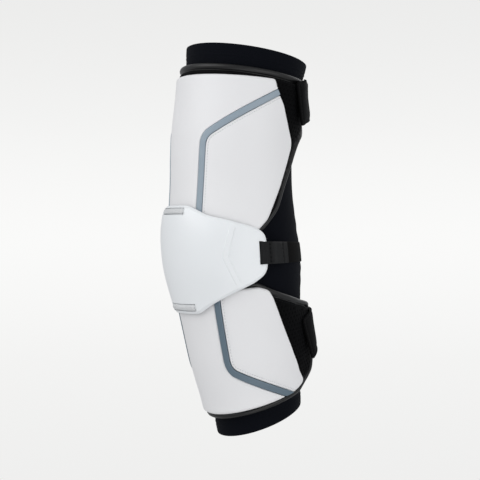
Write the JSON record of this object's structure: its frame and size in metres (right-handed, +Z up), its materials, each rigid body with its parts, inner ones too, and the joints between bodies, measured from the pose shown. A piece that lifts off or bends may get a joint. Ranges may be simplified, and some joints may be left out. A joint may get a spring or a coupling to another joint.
{
  "type": "lacrosse arm pad",
  "caption": "Long guard sleeve for a slightly bent arm: a dark knitted tube with white moulded panels over black padding, a floating white elbow cap and black straps at the back.",
  "frame": {"origin": "middle of the bore that the arm goes through, at the level of the elbow; it is the mount named arm", "axes": "+Z up the upper arm, along the pad's length; -Y the way the elbow's point and the cap face; +X to the wearing side, across the pad's mirror plane"},
  "size_m": [0.1288, 0.1532, 0.363],
  "materials": {
    "knit": "matt knitted stretch cloth, very dark navy",
    "mesh": "matt black spacer mesh over foam",
    "panel": "smooth white moulded facing with a soft sheen",
    "upper_stripe": "satin blue-grey inlay",
    "lower_stripe": "satin darker blue-grey inlay",
    "cap": "smooth white moulded plastic, half gloss",
    "loop": "flat woven pale grey webbing",
    "elastic": "ribbed black elastic",
    "webbing": "ribbed black webbing",
    "strap": "matt black padded cloth with a bound edge"
  },
  "bodies": {
    "root": {"sleeve": "knit", "upper_base_pad": "mesh", "lower_base_pad": "mesh", "upper_centre_panel": "panel", "upper_side_panel_right": "panel", "upper_side_panel_left": "panel", "lower_centre_panel": "panel", "lower_side_panel_right": "panel", "lower_side_panel_left": "panel", "upper_stripe_right": "upper_stripe", "upper_stripe_left": "upper_stripe", "lower_stripe_right": "lower_stripe", "lower_stripe_left": "lower_stripe", "elbow_cap": "cap", "cap_loop_upper": "loop", "cap_loop_lower": "loop", "elbow_strap": "elastic", "elbow_strap_tab_right": "webbing", "elbow_strap_tab_left": "webbing", "upper_strap": "strap", "lower_strap": "strap"}
  },
  "joints": []
}
